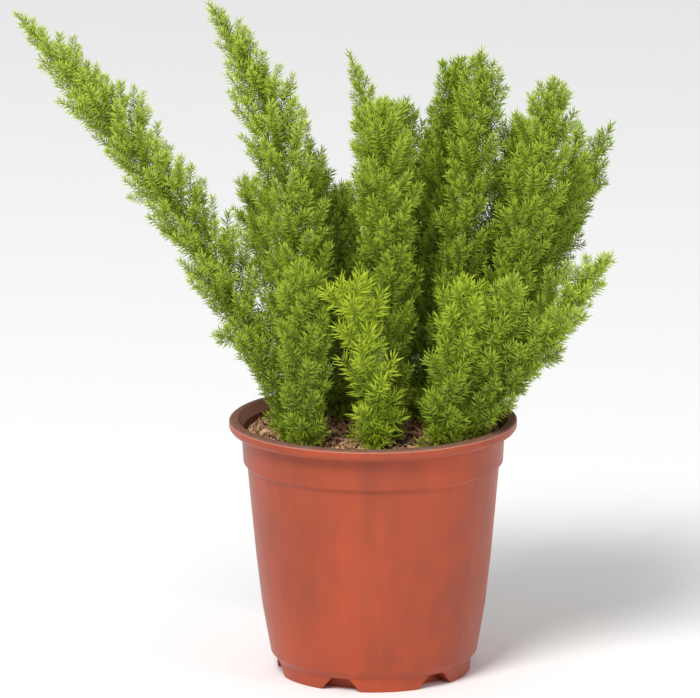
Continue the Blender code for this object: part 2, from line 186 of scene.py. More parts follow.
plumes = {
    "rootDepth": 22 * mm,  # the stem's length inside its hole
    "collar": 2.5 * mm,  # how far over the soil its curve starts
    "stemRadii": (1.5, 0.45),  # millimetres, at the soil and at the tip
    "stemSteps": 36,
    "stemSides": 8,
    "stemAges": (0.15, 0.75),  # browner at the foot than at the tip
    # The stem's place between a needle's root (0) and its tip (1), which sets how far the
    # painted root shade darkens it
    "stemShade": 0.3,
    "branchletRadii": (0.42, 0.2),
    "branchletAge": 0.8,  # its own green, as a share of its needles' freshness
    # Each branchlet's place on that scale, which sets how far the painted root shade darkens it
    "branchletShade": 0.45,
    "branchletSpacing": 2.7 * mm,
    "branchletAngle": 40.0,  # degrees from the stem
    "angleSpread": 5.0,
    "branchletLengths": (0.78, 1.05),  # shares of the reach at that height
    "skirtAngle": 74.0,  # degrees, beside the soil, where branchlets spread
    "skirt": 22 * mm,
    "lift": 0.5,  # how far branchlets turn up towards the light
    "placeSpread": 0.4,  # of a branchlet along the stem, as a share of the spacing
    "turnSpread": 0.2,
    "firstBranchlet": 1 * mm,
    "tipMargin": 5 * mm,  # the bare end of the stem, which only needles cover
    "leastBranchlet": 3 * mm,
    "tipRound": 1.5,  # how blunt the tapering tip is
    "footShare": 0.44,  # share of the reach that branchlets have by the soil
    "footRun": 0.26,  # share of the stem over which they grow to their full reach
    "mouth": 70.5 * mm,  # as far out as branchlets reach below the rim's top
    "rimTop": 160 * mm,  # with a needle's length over the rim itself
    "forkedFrom": 19 * mm,  # branchlets longer than this have two side sprigs
    "forkPlaces": (0.3, 0.62),  # shares of the branchlet's length
    "forkLengths": (0.3, 0.42),
    "forkLean": (0.78, 0.62),  # how far a sprig goes along its branchlet and outwards
    "forkLift": 0.3,
    "forkBare": 0.5 * mm,
    "forkNeedles": 0.9,
    "tuft": 20,  # short sprigs that hide the foot of each stem
    "tuftHeights": (0.3, 14),  # millimetres above the soil
    "tuftAngles": (48, 98),  # degrees from the stem
    "tuftLengths": (7, 17),
    "footAge": 0.36,  # how much older the green is by the soil
    "tipYouth": 0.52,  # how much fresher than that it is at the tip
    "seed": 23,
}

needles = {
    "pitch": 0.315 * mm,
    "stemPitch": 0.6 * mm,
    "stemSpread": 0.85,  # how wide they stand from the stem, as a share of the angles
    "bareRoot": 1.2 * mm,  # where a branchlet has no needles yet
    "length": 6.1 * mm,
    "lengths": (0.78, 1.12),  # shares of that length
    "width": 0.62 * mm,
    "widths": (0.85, 1.15),
    "middle": 0.42,  # where along it a needle is widest
    "keel": 0.6,  # how deep its fold is, as a share of its half width
    "curl": (0.0, 0.07),
    "angles": (74.0, 40.0),  # degrees, at a branchlet's root and at its tip
    "angleSpread": 0.13,
    "turnSpread": 0.35,
    "placeSpread": 0.8,  # share of its own step of the path that a needle may stand in
    "freshSpread": 0.06,
    "endRun": 9 * mm,  # the part of a branchlet where needles close up
    "endShorter": 0.18,
    "rise": 0.12,  # how far needles turn up towards the light
    "inner": 0.24,  # how much older and darker the green is at a branchlet's root, partly painted shade inside the plume
    "outer": 0.34,  # how much fresher it is at its tip
}

# Where each stem leaves the soil, the point that bends it, its tip and the reach of its
# branchlets, in millimetres and close to those in the part's source. Then, for the looks
# alone: the length of its tapering tip in millimetres, how fresh its green is and how
# large its needles are
plumeShapes = {
    "plume_left_long": ((-47, -15), (-76, -25, 255), (-206, -45, 405), 39, 115, 0.72, 1.0),
    "plume_left_tall": ((-44, -20), (-31, -30, 327), (-95, -20, 406), 40, 105, 0.62, 1.0),
    "plume_centre": ((8, -25), (12, -45, 285), (4, -35, 350), 34, 38, 0.40, 1.0),
    "plume_right_tall": ((35, -15), (61, -20, 268), (64, -15, 376), 30, 48, 0.38, 1.0),
    "plume_right_broad": ((53, -15), (91, -30, 258), (106, -40, 365), 32, 50, 0.38, 1.0),
    "plume_back_thin": ((-11, 40), (16, 70, 275), (-13, 90, 355), 28, 100, 0.90, 0.95),
    "plume_right_upright": ((32, 10), (45, 15, 266), (51, 20, 365), 31, 38, 0.30, 1.0),
    "plume_right_inner": ((48, 15), (77, 25, 252), (87, 35, 326), 32, 40, 0.30, 1.0),
    "plume_right_outer": ((57, 15), (106, 25, 233), (123, 40, 320), 28, 55, 0.38, 1.0),
    "plume_right_far": ((64, 30), (107, 60, 234), (143, 90, 311), 26, 66, 0.12, 1.0),
    "plume_right_low": ((61, -10), (97, -25, 214), (139, -40, 259), 34, 60, 0.60, 1.05),
    "plume_back_left": ((-29, 25), (-25, 35, 244), (-38, 50, 312), 28, 60, 0.22, 1.0),
    "plume_centre_back": ((19, 20), (30, 35, 256), (12, 50, 333), 34, 38, 0.24, 1.0),
    "plume_inner_left": ((-20, 12), (-18, 15, 230), (-18, 22, 290), 32, 40, 0.12, 1.0),
    "plume_shoulder_left": ((27, 30), (40, 45, 251), (46, 55, 332), 30, 40, 0.16, 1.0),
    "plume_shoulder_right": ((45, 5), (81, 0, 254), (94, -5, 331), 28, 40, 0.30, 1.0),
    "plume_right_under": ((62, -32), (87, -45, 203), (122, -60, 231), 25, 45, 0.44, 1.05),
    "plume_front_left": ((-39, -50), (-43, -62, 220), (-41, -66, 262), 28, 45, 0.32, 1.1),
    "plume_front_lime": ((2, -50), (2, -67, 212), (-19, -79, 252), 28, 30, 0.88, 1.5),
    "plume_front_right": ((38, -44), (48, -62, 212), (56, -74, 253), 25, 36, 0.52, 1.25),
    "plume_low_left": ((-47, -30), (-61, -44, 214), (-93, -56, 216), 19, 34, 0.26, 1.0),
    "plume_low_right": ((58, -38), (74, -52, 209), (81, -66, 253), 25, 40, 0.42, 1.15),
    "plume_rear_left": ((-32, 46), (-66, 92, 236), (-76, 125, 273), 30, 50, 0.34, 1.0),
    "plume_rear_mid": ((-14, 52), (-14, 96, 221), (-19, 126, 264), 30, 50, 0.30, 1.0),
    "plume_rear": ((13, 60), (28, 104, 231), (33, 134, 301), 28, 60, 0.45, 1.0),
    "plume_rear_right": ((43, 54), (89, 100, 214), (104, 130, 278), 26, 60, 0.42, 1.0),
}


class Path:
    # A polyline that can be asked for its point and direction at any distance

    def __init__(self, points):
        self.points = points
        steps = np.linalg.norm(np.diff(points, axis=0), axis=1)
        self.travel = np.concatenate([[0], np.cumsum(steps)])
        self.length = self.travel[-1]
        self.tangents = unit(np.gradient(points, axis=0))

    def at(self, distances):
        return np.stack(
            [np.interp(distances, self.travel, self.points[:, k]) for k in range(3)], -1
        )

    def heading(self, distances):
        return unit(
            np.stack(
                [np.interp(distances, self.travel, self.tangents[:, k]) for k in range(3)],
                -1,
            )
        )


def stemPath(name):
    # The stem's foot in its hole, and its curve from the soil to the tip
    base, bend, tip = (np.array(place) * mm for place in plumeShapes[name][:3])
    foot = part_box(name)[0].z
    root = np.array([*base, foot])
    start = np.array([*base, foot + plumes["rootDepth"] + plumes["collar"]])
    t = np.linspace(0, 1, 60)[:, None]
    curve = (1 - t) ** 2 * start + 2 * t * (1 - t) * bend + t**2 * tip
    return root, Path(curve)


def swell(distance, length, taper):
    # Share of the full reach that branchlets have here: short at the tip and by the soil
    tipRun = min(1.0, (length - distance) / (taper * mm))
    soilRun = min(1.0, distance / (plumes["footRun"] * length))
    foot = plumes["footShare"]
    return (1 - (1 - tipRun) ** plumes["tipRound"]) * (foot + (1 - foot) * soilRun)


def clearOfRim(start, heading, length):
    # A length short enough that needles at its end stay inside the pot's mouth
    while length > 1 * mm:
        end = start + heading * length
        if end[2] > plumes["rimTop"] or math.hypot(end[0], end[1]) < plumes["mouth"]:
            break
        length *= 0.8
    return length


def outward(along, turn):
    # The direction square to along, at this turn round it
    side, other = acrossPair(along[None])
    return side[0] * math.cos(turn) + other[0] * math.sin(turn)


def leanOut(along, turn, degrees):
    angle = math.radians(degrees)
    return along * math.cos(angle) + outward(along, turn) * math.sin(angle)


def needlesAlong(gather, rng, path, begin, pitch, fresh, size=1.0, spread=1.0):
    # Needles all round a path from begin to its end, leaning forward at the end
    count = max(4, int((path.length - begin) / pitch))
    share = (np.arange(count) + rng.random(count) * needles["placeSpread"]) / count
    distance = begin + (path.length - begin) * share
    tangent = path.heading(distance)
    side, other = acrossPair(tangent)
    turn = goldenAngle * np.arange(count) + rng.normal(0, needles["turnSpread"], count)
    out = side * np.cos(turn)[:, None] + other * np.sin(turn)[:, None]
    first, last = needles["angles"]
    ending = np.clip(1 - (path.length - distance) / needles["endRun"], 0, 1)
    lean = np.radians((first + (last - first) * ending) * spread)
    lean = lean + rng.normal(0, needles["angleSpread"], count)
    heading = tangent * np.cos(lean)[:, None] + out * np.sin(lean)[:, None]
    heading = unit(heading + up * needles["rise"])
    length = needles["length"] * size * (1 - needles["endShorter"] * ending)
    length = length * rng.uniform(*needles["lengths"], count)
    width = needles["width"] * rng.uniform(*needles["widths"], count)
    curl = rng.uniform(*needles["curl"], count)
    # Green darker towards a branchlet's root, partly painted shade inside the plume, and fresher
    # towards its tip
    shift = (needles["inner"] + needles["outer"]) * share - needles["inner"]
    green = fresh + shift + rng.normal(0, needles["freshSpread"], count)
    tone = rng.uniform(-1, 1, count)
    roots, green = path.at(distance), np.clip(green, 0, 1)
    addNeedles(gather, roots, heading, length, width, curl, green, tone)


def branchletPath(root, heading, length, lift, steps=7):
    share = np.linspace(0, 1, steps)
    headings = unit(heading + up * (lift * share)[:, None])
    moves = headings[1:] * (length / (steps - 1))
    return Path(np.concatenate([root[None], root + np.cumsum(moves, axis=0)]))


def addBranchlet(gather, rng, root, heading, length, fresh, needleSize):
    path = branchletPath(root, heading, length, plumes["lift"])
    pitch = needles["pitch"] * needleSize
    radii = np.linspace(*plumes["branchletRadii"], len(path.points)) * mm
    flat = np.full(len(path.points), fresh)
    fresher, shade = flat * plumes["branchletAge"], flat * 0 + plumes["branchletShade"]
    addTube(gather, path.points, radii, 3, fresh=fresher, tone=flat * 0, reach=shade)
    needlesAlong(gather, rng, path, needles["bareRoot"], pitch, fresh, needleSize)
    if length > plumes["forkedFrom"]:
        for share in rng.uniform(*plumes["forkPlaces"], 2):
            along = path.heading(share * length)
            out = outward(along, rng.uniform(0, 2 * math.pi))
            forward, outwards = plumes["forkLean"]
            fork = unit(along * forward + out * outwards)
            forkLength = length * rng.uniform(*plumes["forkLengths"])
            start, lift = path.at(share * length), plumes["forkLift"]
            sprig = branchletPath(start, fork, forkLength, lift, 4)
            bare, size = plumes["forkBare"], plumes["forkNeedles"] * needleSize
            needlesAlong(gather, rng, sprig, bare, pitch, fresh, size)


def growBranchlets(gather, rng, stem, shape):
    # Branchlets in a spiral from the soil to the tip
    _, _, _, reach, taper, fresh, needleSize = shape
    run = stem.length - plumes["firstBranchlet"] - plumes["tipMargin"]
    count = int(run / (plumes["branchletSpacing"] * needleSize))
    phase = rng.uniform(0, 2 * math.pi)
    for k in range(count):
        share = (k + rng.uniform(-plumes["placeSpread"], plumes["placeSpread"])) / count
        distance = plumes["firstBranchlet"] + max(0, share) * run
        turn = phase + goldenAngle * k + rng.normal(0, plumes["turnSpread"])
        low = max(0.0, 1 - distance / plumes["skirt"])
        lean = plumes["branchletAngle"] * (1 - low) + plumes["skirtAngle"] * low
        lean += rng.normal(0, plumes["angleSpread"])
        start, heading = stem.at(distance), leanOut(stem.heading(distance), turn, lean)
        length = reach * mm * swell(distance, stem.length, taper)
        length = clearOfRim(start, heading, length * rng.uniform(*plumes["branchletLengths"]))
        if length < plumes["leastBranchlet"]:
            continue
        age = plumes["footAge"] - plumes["tipYouth"] * distance / stem.length
        addBranchlet(
            gather, rng, start, heading, length, np.clip(fresh - age, 0, 1), needleSize
        )


def growTuft(gather, rng, stem, fresh, needleSize):
    # Short sprigs round the foot of the stem
    for _ in range(plumes["tuft"]):
        distance = rng.uniform(*plumes["tuftHeights"]) * mm
        turn, lean = rng.uniform(0, 2 * math.pi), rng.uniform(*plumes["tuftAngles"])
        start, heading = stem.at(distance), leanOut(stem.heading(distance), turn, lean)
        length = clearOfRim(start, heading, rng.uniform(*plumes["tuftLengths"]) * mm)
        if length > plumes["leastBranchlet"]:
            addBranchlet(gather, rng, start, heading, length, fresh / 2, needleSize)


def makePlume(name, material, slot, rng):
    fresh, needleSize = plumeShapes[name][5:]
    root, stem = stemPath(name)
    gather = Gatherer("fresh", "tone", "reach")
    steps, (thick, thin) = plumes["stemSteps"], plumes["stemRadii"]
    path = np.concatenate([root[None], stem.at(np.linspace(0, stem.length, steps))])
    radii = np.concatenate([[thick], np.linspace(thick, thin, steps)]) * mm
    bark = np.linspace(*plumes["stemAges"], len(path))
    green = {"fresh": bark, "tone": bark * 0, "reach": bark * 0 + plumes["stemShade"]}
    addTube(gather, path, radii, plumes["stemSides"], **green)
    growBranchlets(gather, rng, stem, plumeShapes[name])
    growTuft(gather, rng, stem, fresh, needleSize)
    begin, pitch, spread = 1 * mm, needles["stemPitch"], needles["stemSpread"]
    needlesAlong(gather, rng, stem, begin, pitch, fresh, needleSize, spread)
    obj = gather.build(f"{name}_needles", material)
    finish(obj, slot, name)
    return len(obj.data.polygons)


def finish(obj, slot, *nodes):
    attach(obj, "root")
    if nodes:
        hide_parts(*nodes)


# Materials


def newGroup(name, inputs, output, outputType):
    # A shader node group with these numbers as its inputs, and one output
    group = bpy.data.node_groups.new(name, "ShaderNodeTree")
    for label, value in inputs.items():
        socket = group.interface.new_socket(
            label, in_out="INPUT", socket_type="NodeSocketFloat"
        )
        socket.default_value = value
    group.interface.new_socket(output, in_out="OUTPUT", socket_type=outputType)
    inlet = group.nodes.new("NodeGroupInput").outputs
    return group, inlet, group.nodes.new("NodeGroupOutput").inputs[output]


def node(tree, kind, settings=None, **inputs):
    # A node with its settings and its inputs, which may be values or other sockets.
    # _0 is its first input, for nodes whose inputs share a name
    made = tree.nodes.new(kind)
    for key, value in (settings or {}).items():
        setattr(made, key, value)
    for key, value in inputs.items():
        socket = made.inputs[int(key[1:])] if key[1:].isdigit() else made.inputs[key]
        if isinstance(value, bpy.types.NodeSocket):
            tree.links.new(value, socket)
        else:
            socket.default_value = value
    return made


def mixColour(tree, share, first, second, blend="MIX"):
    made = tree.nodes.new("ShaderNodeMix")
    made.data_type = "RGBA"
    made.blend_type = blend
    for place, value in ((0, share), (6, first), (7, second)):
        if isinstance(value, bpy.types.NodeSocket):
            tree.links.new(value, made.inputs[place])
        elif place:
            made.inputs[place].default_value = (*value, 1)
        else:
            made.inputs[place].default_value = value
    return made.outputs[2]


def math2(tree, operation, first, second, clamp=False):
    settings = {"operation": operation, "use_clamp": clamp}
    return node(tree, "ShaderNodeMath", settings, _0=first, _1=second).outputs[0]


def ramp(tree, value, stops):
    made = node(tree, "ShaderNodeValToRGB", None, _0=value)
    elements = made.color_ramp.elements
    while len(elements) < len(stops):
        elements.new(0.5)
    for element, (position, colour) in zip(elements, stops):
        element.position, element.color = position, (*colour, 1)
    return made.outputs[0]


def newMaterial(name, roughness):
    made = bpy.data.materials.new(name)
    made.use_nodes = True
    tree = made.node_tree
    shader = tree.nodes["Principled BSDF"]
    shader.inputs["Roughness"].default_value = roughness
    return made, tree, shader


def attribute(tree, name):
    return node(tree, "ShaderNodeAttribute", {"attribute_name": name}).outputs["Fac"]


def mapRange(tree, value, low, high, newLow=0.0, newHigh=1.0):
    made = node(
        tree, "ShaderNodeMapRange", None, _0=value, _1=low, _2=high, _3=newLow, _4=newHigh
    )
    return made.outputs[0]


def makeBlotches():
    # Soft, uneven patches between 0 and 1, drawn out along Z where Height is over 1
    inputs = {"Scale": 40.0, "Contrast": 1.0, "Height": 1.0}
    group, inlet, outlet = newGroup("blotches", inputs, "Mask", "NodeSocketFloat")
    place = group.nodes.new("ShaderNodeTexCoord").outputs["Object"]
    x, y, z = node(group, "ShaderNodeSeparateXYZ", None, Vector=place).outputs
    squeezed = math2(group, "DIVIDE", z, inlet["Height"])
    drawn = node(group, "ShaderNodeCombineXYZ", None, X=x, Y=y, Z=squeezed).outputs[0]
    noise = node(
        group, "ShaderNodeTexNoise", None, Vector=drawn, Scale=inlet["Scale"], Detail=4.0
    )
    centred = math2(group, "SUBTRACT", noise.outputs["Fac"], 0.5)
    scaled = math2(group, "MULTIPLY", centred, inlet["Contrast"])
    group.links.new(math2(group, "ADD", scaled, 0.5, True), outlet)
    return group


def makeSpecks():
    # Small scattered specks, such as crumbs of dust stuck to plastic
    inputs = {"Scale": 900.0, "Amount": 0.2}
    group, inlet, outlet = newGroup("specks", inputs, "Mask", "NodeSocketFloat")
    place = group.nodes.new("ShaderNodeTexCoord").outputs["Object"]
    cells = node(group, "ShaderNodeTexVoronoi", None, Vector=place, Scale=inlet["Scale"])
    dots = math2(group, "LESS_THAN", cells.outputs["Distance"], 0.22)
    chosen = node(group, "ShaderNodeSeparateColor", None, _0=cells.outputs["Color"])
    few = math2(group, "LESS_THAN", chosen.outputs[0], inlet["Amount"])
    group.links.new(math2(group, "MULTIPLY", dots, few), outlet)
    return group


def makeGrain():
    # Fine roughness of a surface, as a normal
    inputs = {"Scale": 900.0, "Detail": 2.0, "Strength": 0.1, "Distance": 0.5 * mm}
    group, inlet, outlet = newGroup("grain", inputs, "Normal", "NodeSocketVector")
    place = group.nodes.new("ShaderNodeTexCoord").outputs["Object"]
    scale, detail = inlet["Scale"], inlet["Detail"]
    noise = node(group, "ShaderNodeTexNoise", None, Vector=place, Scale=scale, Detail=detail)
    bump = node(
        group,
        "ShaderNodeBump",
        None,
        Strength=inlet["Strength"],
        Distance=inlet["Distance"],
        Height=noise.outputs["Fac"],
    )
    group.links.new(bump.outputs[0], outlet)
    return group


def makeEffects():
    return {"blotches": makeBlotches(), "specks": makeSpecks(), "grain": makeGrain()}


def use(tree, group, values):
    # The one output of a group, with these values on its inputs
    made = tree.nodes.new("ShaderNodeGroup")
    made.node_tree = group
    for key, value in values.items():
        made.inputs[key].default_value = value
    return made.outputs[0]


needleColours = {
    "deep": (0.026, 0.082, 0.008),
    "middle": (0.188, 0.366, 0.004),
    "fresh": {"frond_lime": (0.580, 0.740, 0.022), "other": (0.640, 0.790, 0.120)},
    "root": 0.20,  # painted shade: how dark a needle is where it leaves its branchlet, inside the plume
    "tip": (0.670, 0.850, 0.052),  # the pale end of every needle
    "tipShare": 0.60,
    "glow": 0.20,  # share of light that passes through a needle
    "roughness": 0.48,
    "shine": 0.35,
    "patches": {"Scale": 34.0, "Contrast": 1.6},
    "patchShift": 0.35,  # how far the patches change the green
    "toneShift": 0.08,  # how far one needle's green differs from the next
}


def makeNeedleMaterial(name, effects):
    made, tree, shader = newMaterial(name, needleColours["roughness"])
    shader.inputs["Specular IOR Level"].default_value = needleColours["shine"]
    freshest = needleColours["fresh"].get(name, needleColours["fresh"]["other"])
    reach = attribute(tree, "reach")
    patch = use(tree, effects["blotches"], needleColours["patches"])
    patch = math2(tree, "SUBTRACT", patch, 0.5)
    patch = math2(tree, "MULTIPLY", patch, needleColours["patchShift"])
    tone = math2(tree, "MULTIPLY", attribute(tree, "tone"), needleColours["toneShift"])
    freshness = math2(tree, "ADD", attribute(tree, "fresh"), patch)
    freshness = math2(tree, "ADD", freshness, tone, True)
    greens = [(0.0, needleColours["deep"]), (0.5, needleColours["middle"]), (1.0, freshest)]
    colour = ramp(tree, freshness, greens)
    # Painted shade: each needle darker towards its root, where it leaves its branchlet
    shade = mapRange(tree, reach, 0.0, 1.0, needleColours["root"], 1.0)
    grey = node(tree, "ShaderNodeCombineColor", None, _0=shade, _1=shade, _2=shade)
    rootShaded = mixColour(tree, 1.0, colour, grey.outputs[0], "MULTIPLY")
    tipShare = math2(tree, "MULTIPLY", reach, needleColours["tipShare"])
    lighter = mixColour(tree, tipShare, rootShaded, needleColours["tip"])
    tree.links.new(lighter, shader.inputs["Base Color"])
    through = node(tree, "ShaderNodeBsdfTranslucent", None, Color=lighter)
    mix = node(tree, "ShaderNodeMixShader", None, Fac=needleColours["glow"])
    tree.links.new(shader.outputs[0], mix.inputs[1])
    tree.links.new(through.outputs[0], mix.inputs[2])
    tree.links.new(mix.outputs[0], tree.nodes["Material Output"].inputs["Surface"])
    return made


potColours = {
    "plastic": (0.430, 0.072, 0.027),
    "deep": (0.235, 0.052, 0.028),
    "dust": (0.340, 0.240, 0.165),
    "grimeAndShade": (0.110, 0.062, 0.045),  # grime and painted shade on the lip's top, and painted shade inside the mouth
    "edge": (0.640, 0.270, 0.180),  # a painted highlight along the edge round the lip
    "roughness": 0.38,
    "soiledRoughness": 0.8,
    "shine": 0.26,
    "broad": {"Scale": 26.0, "Contrast": 3.6, "Height": 2.2},
    "broadShare": 0.42,
    "small": {"Scale": 110.0, "Contrast": 3.5, "Height": 4.0},
    "smallShare": 0.26,
    "specks": {"Scale": 1400.0, "Amount": 0.05},
    "dusty": {"Scale": 240.0, "Contrast": 2.5},
    "grimeAndShadeShares": (0.6, 0.35),  # everywhere on a face with grime and painted shade, and more in patches
    "grimeDust": 0.35,
    "wallDust": 0.3,
    "lipHighlight": 0.6,
    "upFaces": (0.25, 0.75),  # how far a face looks up to get grime and painted shade in part, and fully
    "highlightFaces": ((0.05, 0.25), (0.7, 0.4)),  # and to get the painted highlight
    "mouthFrom": 128 * mm,  # grime with painted shade, and the painted highlight round the lip, only come above these heights
    "lipFrom": 147.5 * mm,
    "grain": {"Scale": 900.0, "Detail": 2.0, "Strength": 0.06, "Distance": 0.4 * mm},
}


def insideMask(tree, place, normal):
    # 1 where the surface faces the pot's own axis
    settings = {"operation": "MULTIPLY"}
    level = node(tree, "ShaderNodeVectorMath", settings, _0=place, _1=(1, 1, 0)).outputs[0]
    settings = {"operation": "DOT_PRODUCT"}
    outwards = node(tree, "ShaderNodeVectorMath", settings, _0=level, _1=normal)
    return math2(tree, "LESS_THAN", outwards.outputs["Value"], 0.0)


def makePotMaterial(effects):
    made, tree, shader = newMaterial("pot_plastic", potColours["roughness"])
    shader.inputs["Specular IOR Level"].default_value = potColours["shine"]
    place = node(tree, "ShaderNodeTexCoord").outputs["Object"]
    height = node(tree, "ShaderNodeSeparateXYZ", None, Vector=place).outputs["Z"]
    normal = node(tree, "ShaderNodeNewGeometry").outputs["Normal"]
    facing = node(tree, "ShaderNodeSeparateXYZ", None, Vector=normal).outputs["Z"]

    # Darker smudges, drawn out along the wall
    broad = use(tree, effects["blotches"], potColours["broad"])
    small = use(tree, effects["blotches"], potColours["small"])
    small = math2(tree, "MULTIPLY", small, potColours["smallShare"])
    worn = math2(tree, "MULTIPLY", broad, potColours["broadShare"])
    worn = math2(tree, "ADD", worn, small)
    colour = mixColour(tree, worn, potColours["plastic"], potColours["deep"])

    # Grime and painted shade on the lip's top, and painted shade inside the mouth
    upward = mapRange(tree, facing, *potColours["upFaces"])
    soiledAndShaded = math2(tree, "MAXIMUM", upward, insideMask(tree, place, normal))
    mouth = math2(tree, "GREATER_THAN", height, potColours["mouthFrom"])
    grimeAndShadeMask = math2(tree, "MULTIPLY", soiledAndShaded, mouth)
    dusty = use(tree, effects["blotches"], potColours["dusty"])
    allOver, inPatches = potColours["grimeAndShadeShares"]
    patchy = math2(tree, "ADD", math2(tree, "MULTIPLY", dusty, inPatches), allOver)
    colour = mixColour(tree, math2(tree, "MULTIPLY", grimeAndShadeMask, patchy), colour, potColours["grimeAndShade"])

    # A painted highlight: a paler band along the lip's rounded edge
    rising, falling = (mapRange(tree, facing, *pair) for pair in potColours["highlightFaces"])
    lip = math2(tree, "GREATER_THAN", height, potColours["lipFrom"])
    lipHighlight = math2(tree, "MULTIPLY", math2(tree, "MULTIPLY", rising, falling), lip)
    lipHighlight = math2(tree, "MULTIPLY", lipHighlight, potColours["lipHighlight"])
    colour = mixColour(tree, lipHighlight, colour, potColours["edge"])

    # Dust where the grime and painted shade lie, and a few specks on the wall
    inGrime = math2(tree, "MULTIPLY", grimeAndShadeMask, dusty)
    inGrime = math2(tree, "MULTIPLY", inGrime, potColours["grimeDust"])
    specks = use(tree, effects["specks"], potColours["specks"])
    onWall = math2(tree, "MULTIPLY", specks, potColours["wallDust"])
    dust = math2(tree, "MAXIMUM", inGrime, onWall)
    colour = mixColour(tree, dust, colour, potColours["dust"])
    tree.links.new(colour, shader.inputs["Base Color"])
    clean, rough = potColours["roughness"], potColours["soiledRoughness"]
    rough = mapRange(tree, math2(tree, "MAXIMUM", dust, grimeAndShadeMask), 0.0, 1.0, clean, rough)
    tree.links.new(rough, shader.inputs["Roughness"])
    grain = use(tree, effects["grain"], potColours["grain"])
    tree.links.new(grain, shader.inputs["Normal"])
    return made


soilColours = {
    # From dark damp peat to pale dry bark
    "stops": [
        (0.0, (0.024, 0.013, 0.008)),
        (0.22, (0.190, 0.086, 0.038)),
        (0.5, (0.600, 0.320, 0.160)),
        (1.0, (0.900, 0.610, 0.370)),
    ],
    "roughness": 0.95,
    "patches": {"Scale": 420.0, "Contrast": 2.2},
    "patchShift": 0.3,
    # Large darker patches of painted shade over the soil
    "shadePatches": {"Scale": 45.0, "Contrast": 3.0},
    "shadePatchShift": 0.28,
    "grain": {"Scale": 1500.0, "Detail": 5.0, "Strength": 0.7, "Distance": 0.6 * mm},
}


def makeSoilMaterial(effects):
    made, tree, shader = newMaterial("potting_soil", soilColours["roughness"])
    patch = use(tree, effects["blotches"], soilColours["patches"])
    # Painted shade: large darker patches taken off the soil's shade
    shadePatches = use(tree, effects["blotches"], soilColours["shadePatches"])
    patch = math2(tree, "SUBTRACT", patch, 0.5)
    uneven = math2(tree, "MULTIPLY", patch, soilColours["patchShift"])
    darker = math2(tree, "MULTIPLY", shadePatches, soilColours["shadePatchShift"])
    uneven = math2(tree, "SUBTRACT", uneven, darker)
    shade = math2(tree, "ADD", attribute(tree, "bit"), uneven, True)
    tree.links.new(ramp(tree, shade, soilColours["stops"]), shader.inputs["Base Color"])
    grain = use(tree, effects["grain"], soilColours["grain"])
    tree.links.new(grain, shader.inputs["Normal"])
    return made


# The pot, turned from a rounded profile, with the same notches as the part's source

pot = {
    "sides": 160,
    "wall": 1.2 * mm,
    "pockets": 6,  # the notches in the foot, each with a drain hole over it
    "pocketAngle": -110.5,  # degrees from +X to the first one
    "pocketHeight": 8 * mm,
    "pocketTop": 11 * mm,  # its width there
    "pocketFoot": 25 * mm,
    "pocketDepth": 47.5 * mm,  # from the axis to where a pocket starts
    "pocketEnd": 95 * mm,
    "drainRadius": 2.5 * mm,
    "drainDistance": 51.5 * mm,
    "drainSides": 24,
    "sharpFrom": 32,  # degrees between two faces of a sharp edge
}

# Radius and height along the outside, in millimetres, and how round each corner is
potOutside = [
    (0, 1.0, 0),
    (44, 1.0, 0),
    (45.5, 0.0, 0.4),
    (57.1, 0.0, 0.8),
    (57.7, 7.9, 1.5),
    (61.2, 12.3, 2.0),
    (66.2, 41.0, 0),
    (69.5, 70.0, 0),
    (72.3, 100.0, 0),
    (74.5, 125.0, 1.0),
    (76.8, 127.4, 1.0),
    (77.8, 145.9, 1.5),
    (83.6, 146.4, 1.2),
    (85.1, 148.4, 1.6),
    (85.1, 152.0, 1.2),
    (83.8, 153.0, 0.8),
    (80.0, 153.0, 1.2),
]
potInside = [
    (78.6, 150.4, 1.0),
    (76.7, 147.4, 1.0),
    (75.5, 127.8, 1.2),
    (73.3, 125.2, 1.2),
    (71.1, 100.0, 0),
    (68.3, 70.0, 0),
    (65.0, 41.0, 0),
    (60.1, 13.0, 2.0),
    (56.6, 8.5, 1.5),
    (56.0, 2.2, 1.5),
    (0, 2.2, 0),
]


def roundedProfile(corners, steps=4):
    # The profile with each corner replaced by an arc of its radius, in metres
    plain = np.array([c[:2] for c in corners], float)
    made = [plain[0]]
    for k in range(1, len(corners) - 1):
        here, radius = plain[k], corners[k][2]
        toLast, toNext = unit(plain[k - 1] - here), unit(plain[k + 1] - here)
        if radius == 0:
            made.append(here)
            continue
        half = math.acos(np.clip(toLast @ toNext, -1, 1)) / 2
        reach = radius / math.tan(half)
        before, after = np.linalg.norm(plain[k - 1] - here), np.linalg.norm(plain[k + 1] - here)
        reach = min(reach, 0.45 * min(before, after))
        a, b = here + toLast * reach, here + toNext * reach
        t = np.linspace(0, 1, steps + 1)[:, None]
        made += list((1 - t) ** 2 * a + 2 * t * (1 - t) * here + t**2 * b)
    made.append(plain[-1])
    return np.array(made) * mm


def lathe(profile, sides):
    # Points and faces turned round Z from a profile that starts and ends on the axis
    turn = np.arange(sides) * 2 * math.pi / sides
    rings = profile[1:-1]
    points = [(r * math.cos(a), r * math.sin(a), z) for r, z in rings for a in turn]
    points += [(0, 0, profile[0][1]), (0, 0, profile[-1][1])]
    faces = []
    for i in range(len(rings) - 1):
        for k in range(sides):
            j = (k + 1) % sides
            here, above = i * sides, (i + 1) * sides
            faces.append((here + k, here + j, above + j, above + k))
    low, high, last = len(points) - 2, len(points) - 1, (len(rings) - 1) * sides
    for k in range(sides):
        j = (k + 1) % sides
        faces.append((low, j, k))
        faces.append((high, last + k, last + j))
    return points, faces


def plainObject(name, points, faces):
    mesh = bpy.data.meshes.new(name)
    mesh.from_pydata([tuple(p) for p in points], [], faces)
    mesh.update()
    obj = bpy.data.objects.new(name, mesh)
    bpy.context.scene.collection.objects.link(obj)
    return obj


